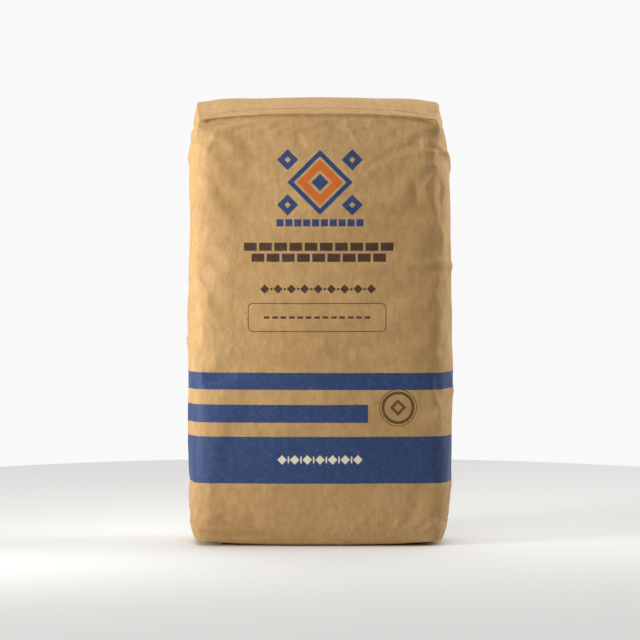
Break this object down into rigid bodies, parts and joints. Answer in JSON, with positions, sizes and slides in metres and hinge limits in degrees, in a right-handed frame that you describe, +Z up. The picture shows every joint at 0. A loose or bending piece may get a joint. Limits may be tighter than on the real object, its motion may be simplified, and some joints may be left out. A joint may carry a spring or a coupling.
{
  "type": "cement bag",
  "caption": "Filled paper valve sack of cement, standing on its flat bottom end, with a domed and sloping top end and a flattened filling valve at one top corner.",
  "frame": {"origin": "centre of the bounding box's underside, where the bag stands on the floor", "axes": "+Z up the bag, from its bottom end to its top end; -Y the way the printed face looks; +X the side with the valve"},
  "size_m": [0.4042, 0.1582, 0.6831],
  "materials": {
    "kraft_paper": "uncoated brown kraft paper, soft semi-matt",
    "patch_paper": "uncoated brown kraft paper, a little lighter",
    "valve_paper": "uncoated light kraft paper",
    "cement_powder": "matt grey powder, settled and close packed"
  },
  "bodies": {
    "root": {"paper_sack": "kraft_paper", "cement_fill": "cement_powder", "valve_sleeve": "valve_paper", "top_cover_patch": "patch_paper", "bottom_cover_patch": "patch_paper"}
  },
  "joints": []
}
